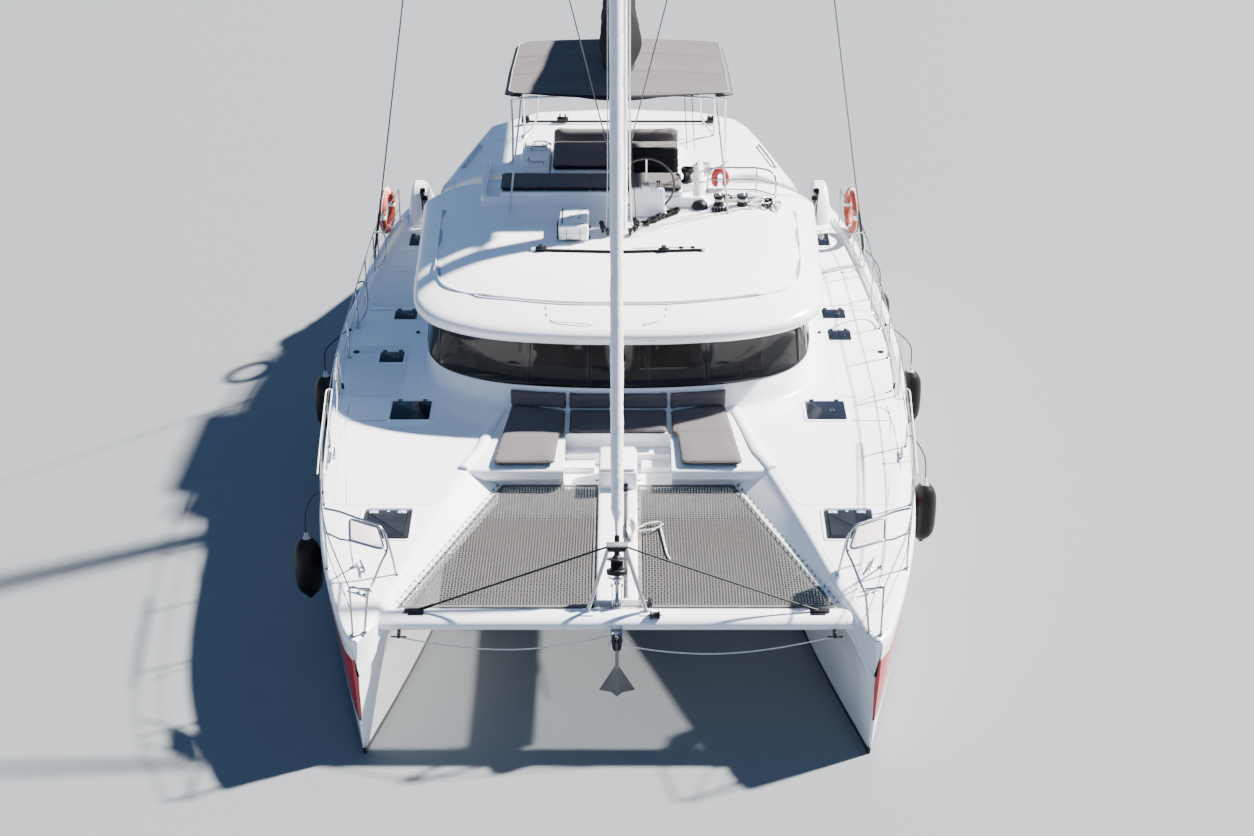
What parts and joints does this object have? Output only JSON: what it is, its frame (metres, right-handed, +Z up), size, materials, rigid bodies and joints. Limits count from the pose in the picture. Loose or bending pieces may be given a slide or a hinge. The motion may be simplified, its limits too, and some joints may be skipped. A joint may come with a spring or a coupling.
{
  "type": "sailing catamaran",
  "caption": "Cruising catamaran afloat: twin hulls joined by a deck with cabin, flybridge, bimini, rig with furled headsail, foredeck nets, rails, rudders and propellers.",
  "frame": {"origin": "amidships on the centre line, at the waterline", "axes": "+Z up, -Y towards the bows, +X towards the port side"},
  "size_m": [8.6403, 13.98, 22.1],
  "materials": {
    "gelcoat": "glossy white gelcoat",
    "glass": "dark tinted acrylic and glass",
    "steel": "polished stainless tube and wire",
    "alloy": "white painted aluminium spar",
    "black": "black moulded fittings",
    "bronze": "dull bronze",
    "fabric": "taupe marine canvas",
    "sail": "white sail cloth",
    "net": "pale woven webbing",
    "galvanised": "dull galvanised steel",
    "rope": "off-white laid rope",
    "rubber": "black inflated rubber",
    "orange": "orange foam with pale line",
    "red": "red nylon cover",
    "wood": "satin wood veneer"
  },
  "bodies": {
    "root": {"hull_port": "gelcoat", "hull_starboard": "gelcoat", "deck": "gelcoat", "bridge_deck": "gelcoat", "cabin": "gelcoat", "window_glazing": "glass", "saloon_furniture": "wood", "coachroof": "gelcoat", "flybridge": "gelcoat", "flybridge_bench": "fabric", "flybridge_sunpad": "fabric", "helm_seat": "black", "flybridge_rail": "steel", "bimini_frame": "steel", "bimini_canopy": "fabric", "mast": "alloy", "shroud_port": "steel", "shroud_starboard": "steel", "crossbeam": "alloy", "striker": "steel", "net_port": "net", "net_starboard": "net", "anchor": "galvanised", "bridle_starboard": "rope", "bridle_port": "rope", "rail_port": "steel", "rail_starboard": "steel", "engine_drive_port": "black", "engine_drive_starboard": "black", "front_cushion_middle": "fabric", "front_cushion_port": "fabric", "front_cushion_starboard": "fabric", "cockpit_table": "wood", "cockpit_cushions": "fabric", "jib_track": "black", "life_raft": "gelcoat", "winches": "black", "fender_starboard_middle": "rubber", "fender_starboard_bow": "rubber", "fender_port_stern": "rubber", "fender_port_middle": "rubber", "fender_port_bow": "rubber", "lifebuoy_port": "orange", "lifebuoy_starboard": "orange", "horseshoe_buoy": "red"},
    "steering_wheel": {"steering_wheel": "steel"},
    "rudder_port": {"rudder_port": "gelcoat"},
    "rudder_starboard": {"rudder_starboard": "gelcoat"},
    "propeller_port": {"propeller_port": "bronze"},
    "propeller_starboard": {"propeller_starboard": "bronze"},
    "boom": {"boom": "alloy", "sail_bag": "fabric"},
    "furler": {"furled_genoa": "sail", "furler_drum": "black"},
    "bow_locker_lid_port": {"bow_locker_lid_port": "black"},
    "bow_locker_lid_starboard": {"bow_locker_lid_starboard": "black"},
    "engine_lid_port": {"engine_lid_port": "gelcoat"},
    "engine_lid_starboard": {"engine_lid_starboard": "gelcoat"},
    "saloon_door": {"saloon_door": "glass"}
  },
  "joints": [
    {"name": "steering", "type": "hinge", "parent": "root", "child": "steering_wheel", "pos_m": [0.39, 1.09, 3.88], "axis": [0, -1, 0], "range_deg": [-420, 420]},
    {"name": "rudder_port_turn", "type": "hinge", "parent": "root", "child": "rudder_port", "pos_m": [2.95, 5.75, 0], "axis": [0, 0, 1], "range_deg": [-35, 35]},
    {"name": "rudder_starboard_turn", "type": "hinge", "parent": "root", "child": "rudder_starboard", "pos_m": [-2.95, 5.75, 0], "axis": [0, 0, 1], "range_deg": [-35, 35]},
    {"name": "propeller_port_spin", "type": "hinge", "parent": "root", "child": "propeller_port", "pos_m": [2.95, 4.85, -0.93], "axis": [0, 1, 0], "continuous": true},
    {"name": "propeller_starboard_spin", "type": "hinge", "parent": "root", "child": "propeller_starboard", "pos_m": [-2.95, 4.85, -0.93], "axis": [0, 1, 0], "continuous": true},
    {"name": "boom_swing", "type": "hinge", "parent": "root", "child": "boom", "pos_m": [0, 0.81, 5.43], "axis": [0, 0, 1], "range_deg": [-55, 55]},
    {"name": "furler_turn", "type": "hinge", "parent": "root", "child": "furler", "pos_m": [0, -6.15, 1.93], "axis": [0, 0.3604, 0.9328], "continuous": true},
    {"name": "bow_locker_lid_port_hinge", "type": "hinge", "parent": "root", "child": "bow_locker_lid_port", "pos_m": [2.835, -5.044, 1.776], "axis": [1, 0, 0], "range_deg": [0, 85]},
    {"name": "bow_locker_lid_starboard_hinge", "type": "hinge", "parent": "root", "child": "bow_locker_lid_starboard", "pos_m": [-2.835, -5.044, 1.776], "axis": [1, 0, 0], "range_deg": [0, 85]},
    {"name": "engine_lid_port_hinge", "type": "hinge", "parent": "root", "child": "engine_lid_port", "pos_m": [2.67, 4.106, 1.866], "axis": [1, 0, 0], "range_deg": [0, 80]},
    {"name": "engine_lid_starboard_hinge", "type": "hinge", "parent": "root", "child": "engine_lid_starboard", "pos_m": [-2.67, 4.106, 1.866], "axis": [1, 0, 0], "range_deg": [0, 80]},
    {"name": "saloon_door_slide", "type": "slide", "parent": "root", "child": "saloon_door", "axis": [1, 0, 0], "range_m": [0, 1]}
  ],
  "couplings": [
    {"joint": "rudder_port_turn", "follows": "steering", "ratio": 0.0833},
    {"joint": "rudder_starboard_turn", "follows": "steering", "ratio": 0.0833}
  ]
}
